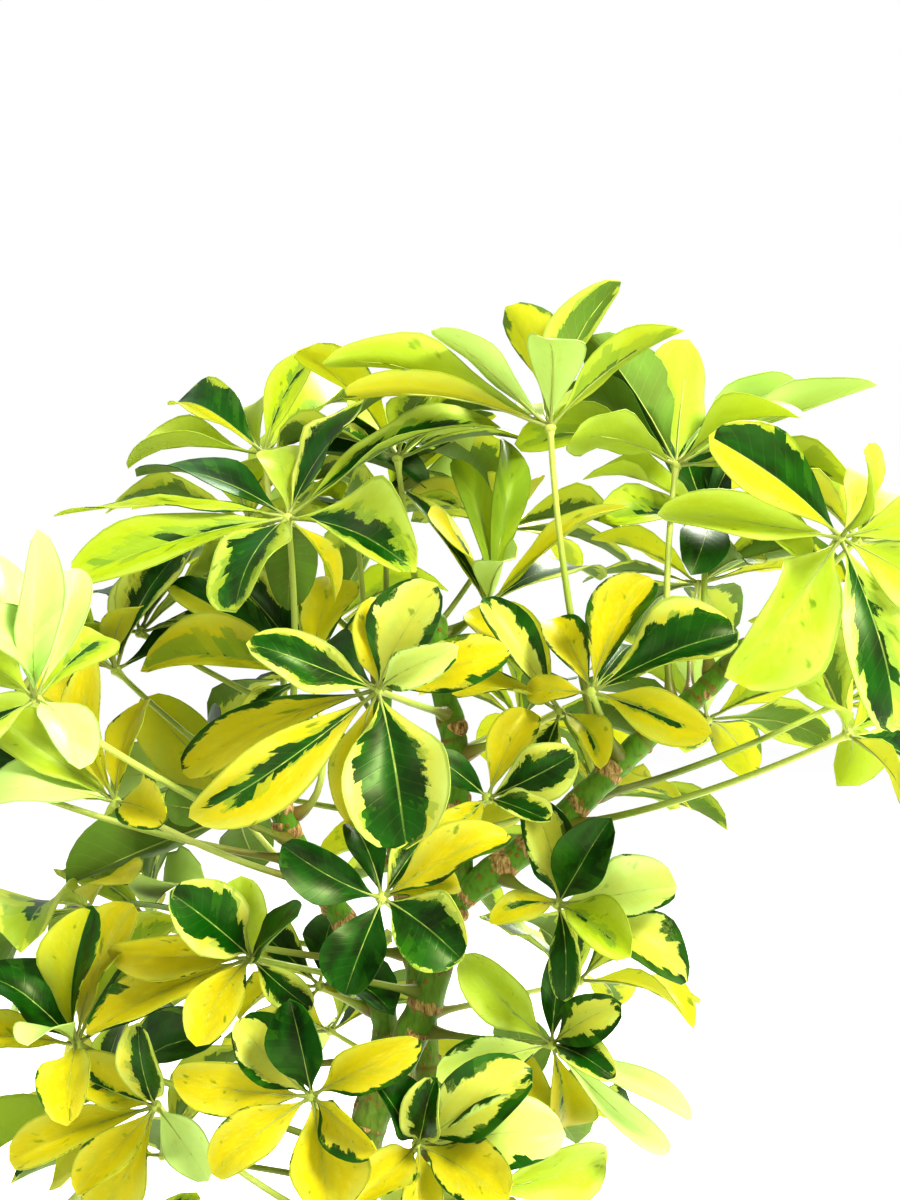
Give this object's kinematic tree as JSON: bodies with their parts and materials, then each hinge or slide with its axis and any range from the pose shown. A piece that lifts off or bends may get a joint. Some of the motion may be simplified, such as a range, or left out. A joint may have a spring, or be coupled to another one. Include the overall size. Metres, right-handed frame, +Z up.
{
  "type": "potted umbrella plant",
  "caption": "Bushy umbrella plant with whorls of green and yellow leaflets on long stalks, growing on woody stems from a plain clay pot.",
  "frame": {"origin": "centre of the pot's flat underside", "axes": "+Z up along the pot's axis; -Y towards the side that the picture shows, +X to the right seen from there"},
  "size_m": [0.5706, 0.4826, 0.764],
  "materials": {
    "pot": "matte fired clay, unglazed",
    "soil": "dark crumbly potting soil",
    "stem": "green to brown bark with leaf scars",
    "leaf": "satin leaf, dark green and yellow patches"
  },
  "bodies": {
    "root": {"pot": "pot", "soil": "soil", "main_stem": "stem", "left_stem": "stem", "back_stem": "stem", "leaf_01": "leaf", "leaf_02": "leaf", "leaf_03": "leaf", "leaf_04": "leaf", "leaf_05": "leaf", "leaf_06": "leaf", "leaf_07": "leaf", "leaf_08": "leaf", "leaf_09": "leaf", "leaf_10": "leaf", "leaf_11": "leaf", "leaf_12": "leaf", "leaf_13": "leaf", "leaf_14": "leaf", "leaf_15": "leaf", "leaf_16": "leaf", "leaf_17": "leaf", "leaf_18": "leaf", "leaf_19": "leaf", "leaf_20": "leaf", "leaf_21": "leaf", "leaf_22": "leaf", "leaf_23": "leaf", "leaf_24": "leaf", "leaf_25": "leaf", "leaf_26": "leaf", "leaf_27": "leaf", "leaf_28": "leaf", "leaf_29": "leaf", "leaf_30": "leaf", "leaf_31": "leaf", "leaf_32": "leaf", "leaf_33": "leaf", "leaf_34": "leaf", "leaf_35": "leaf", "leaf_36": "leaf", "leaf_37": "leaf", "leaf_38": "leaf", "leaf_39": "leaf", "leaf_40": "leaf", "leaf_41": "leaf", "leaf_42": "leaf", "leaf_43": "leaf", "leaf_44": "leaf", "leaf_45": "leaf", "leaf_46": "leaf", "leaf_47": "leaf", "leaf_48": "leaf", "leaf_49": "leaf", "leaf_50": "leaf", "leaf_51": "leaf", "leaf_52": "leaf", "leaf_53": "leaf"}
  },
  "joints": []
}
